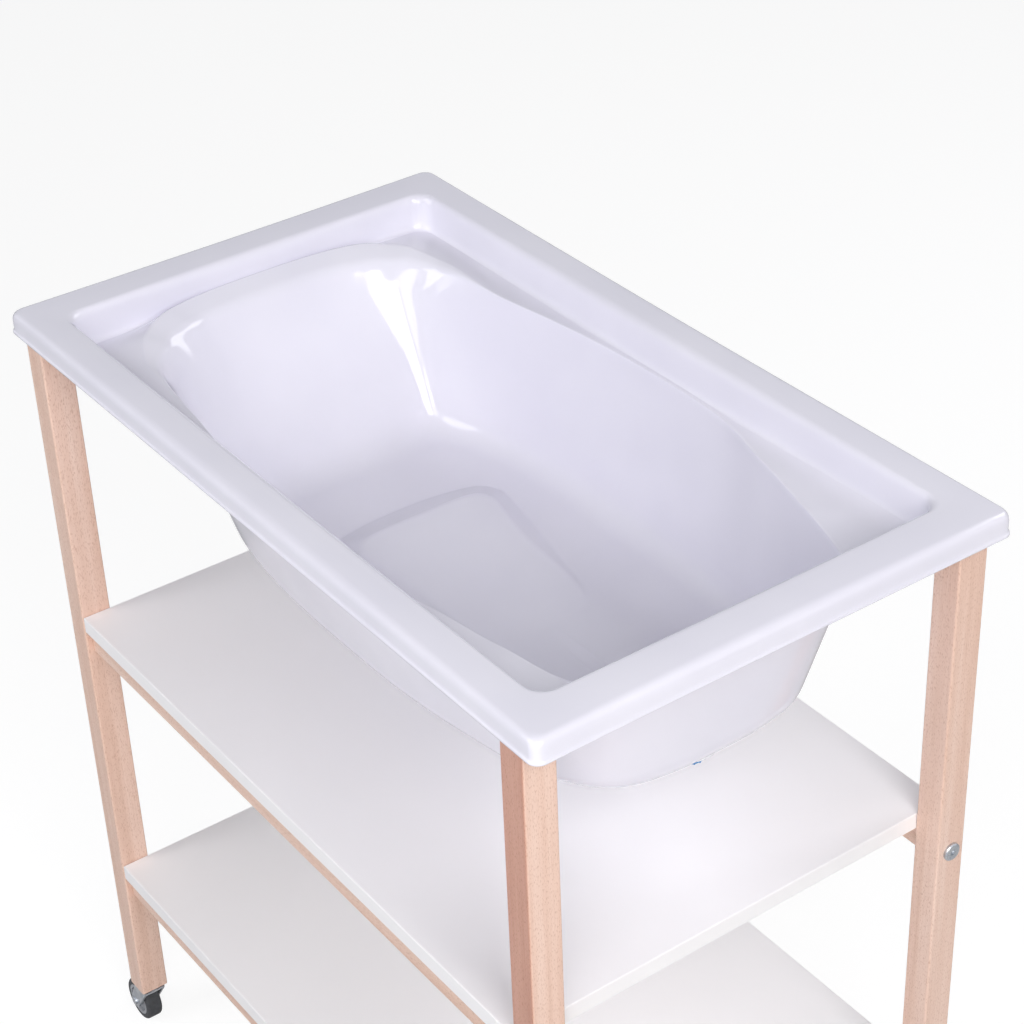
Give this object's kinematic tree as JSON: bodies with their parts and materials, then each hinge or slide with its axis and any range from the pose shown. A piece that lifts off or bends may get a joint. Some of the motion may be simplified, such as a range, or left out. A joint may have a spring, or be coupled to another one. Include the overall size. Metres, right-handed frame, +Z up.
{
  "type": "changing table with bathtub",
  "caption": "Beech changing table with white shelves and a baby bathtub that hangs by its rim in the top, on casters.",
  "frame": {"origin": "on the floor, below the middle of the table", "axes": "+X along the table from the bath's head end to its foot (drain) end, +Y from the front long side to the back one, +Z up"},
  "size_m": [0.846, 0.462, 0.872],
  "materials": {
    "bathtub_shell": "smooth gloss moulded plastic, white with a slight cool tint",
    "drain_plastic": "smooth white moulded plastic",
    "cap_plastic": "moulded blue plastic with fine grip ribs",
    "drain_nut_plastic": "satin moulded plastic",
    "drain_rubber": "soft matt rubber",
    "stopper_rubber": "satin white rubber",
    "beech_post": "clear satin lacquered beech",
    "beech_rail": "clear satin lacquered beech",
    "dowel_wood": "plain beech",
    "shelf_board": "white faced board, satin",
    "zinc_bolt": "bright zinc plated steel",
    "zinc_hidden": "zinc plated steel",
    "caster_steel": "bright zinc plated sheet steel",
    "caster_hub_plastic": "grey moulded plastic",
    "caster_tyre_rubber": "dark grey soft rubber",
    "pedal_plastic": "dark grey moulded plastic"
  },
  "bodies": {
    "frame": {"middle_shelf": "shelf_board", "lower_shelf": "shelf_board", "head_top_rail": "beech_rail", "foot_top_rail": "beech_rail", "head_front_post": "beech_post", "head_back_post": "beech_post", "foot_front_post": "beech_post", "foot_back_post": "beech_post", "front_top_rail": "beech_rail", "front_middle_rail": "beech_rail", "front_lower_rail": "beech_rail", "back_top_rail": "beech_rail", "back_middle_rail": "beech_rail", "back_lower_rail": "beech_rail", "connector_bolts": "zinc_bolt", "barrel_nuts": "zinc_hidden", "rail_dowels": "dowel_wood", "shelf_screws": "zinc_hidden", "caster_stems": "caster_steel"},
    "tub": {"bathtub": "bathtub_shell", "drain_body": "drain_plastic", "drain_seal": "drain_rubber", "drain_nut": "drain_nut_plastic"},
    "stopper": {"drain_stopper": "stopper_rubber"},
    "outlet_cap": {"drain_cap": "cap_plastic"},
    "head_front_caster": {"head_front_caster_fork": "caster_steel", "head_front_caster_axle": "caster_steel"},
    "head_front_wheel": {"head_front_caster_hub": "caster_hub_plastic", "head_front_caster_tyre": "caster_tyre_rubber"},
    "head_back_caster": {"head_back_caster_fork": "caster_steel", "head_back_caster_axle": "caster_steel"},
    "head_back_wheel": {"head_back_caster_hub": "caster_hub_plastic", "head_back_caster_tyre": "caster_tyre_rubber"},
    "head_back_brake": {"head_back_brake_pedal": "pedal_plastic"},
    "foot_front_caster": {"foot_front_caster_fork": "caster_steel", "foot_front_caster_axle": "caster_steel"},
    "foot_front_wheel": {"foot_front_caster_hub": "caster_hub_plastic", "foot_front_caster_tyre": "caster_tyre_rubber"},
    "foot_front_brake": {"foot_front_brake_pedal": "pedal_plastic"},
    "foot_back_caster": {"foot_back_caster_fork": "caster_steel", "foot_back_caster_axle": "caster_steel"},
    "foot_back_wheel": {"foot_back_caster_hub": "caster_hub_plastic", "foot_back_caster_tyre": "caster_tyre_rubber"}
  },
  "joints": [
    {"name": "tub_lift", "type": "slide", "parent": "frame", "child": "tub", "axis": [0, 0, 1], "range_m": [0, 0.25]},
    {"name": "stopper_pull", "type": "slide", "parent": "tub", "child": "stopper", "axis": [0, 0, 1], "range_m": [0, 0.06]},
    {"name": "cap_pull", "type": "slide", "parent": "tub", "child": "outlet_cap", "axis": [0, 0, -1], "range_m": [0, 0.02]},
    {"name": "head_front_swivel", "type": "hinge", "parent": "frame", "child": "head_front_caster", "pos_m": [-0.366, -0.211, 0.054], "axis": [0, 0, 1], "continuous": true},
    {"name": "head_front_roll", "type": "hinge", "parent": "head_front_caster", "child": "head_front_wheel", "pos_m": [-0.383, -0.211, 0.024], "axis": [0, 1, 0], "continuous": true},
    {"name": "head_back_swivel", "type": "hinge", "parent": "frame", "child": "head_back_caster", "pos_m": [-0.366, 0.211, 0.054], "axis": [0, 0, 1], "continuous": true},
    {"name": "head_back_roll", "type": "hinge", "parent": "head_back_caster", "child": "head_back_wheel", "pos_m": [-0.383, 0.211, 0.024], "axis": [0, 1, 0], "continuous": true},
    {"name": "head_back_brake_press", "type": "hinge", "parent": "head_back_caster", "child": "head_back_brake", "pos_m": [-0.403, 0.211, 0.046], "axis": [0, -1, 0], "range_deg": [0, 25]},
    {"name": "foot_front_swivel", "type": "hinge", "parent": "frame", "child": "foot_front_caster", "pos_m": [0.366, -0.211, 0.054], "axis": [0, 0, 1], "continuous": true},
    {"name": "foot_front_roll", "type": "hinge", "parent": "foot_front_caster", "child": "foot_front_wheel", "pos_m": [0.383, -0.211, 0.024], "axis": [0, 1, 0], "continuous": true},
    {"name": "foot_front_brake_press", "type": "hinge", "parent": "foot_front_caster", "child": "foot_front_brake", "pos_m": [0.403, -0.211, 0.046], "axis": [0, 1, 0], "range_deg": [0, 25]},
    {"name": "foot_back_swivel", "type": "hinge", "parent": "frame", "child": "foot_back_caster", "pos_m": [0.366, 0.211, 0.054], "axis": [0, 0, 1], "continuous": true},
    {"name": "foot_back_roll", "type": "hinge", "parent": "foot_back_caster", "child": "foot_back_wheel", "pos_m": [0.383, 0.211, 0.024], "axis": [0, 1, 0], "continuous": true}
  ]
}
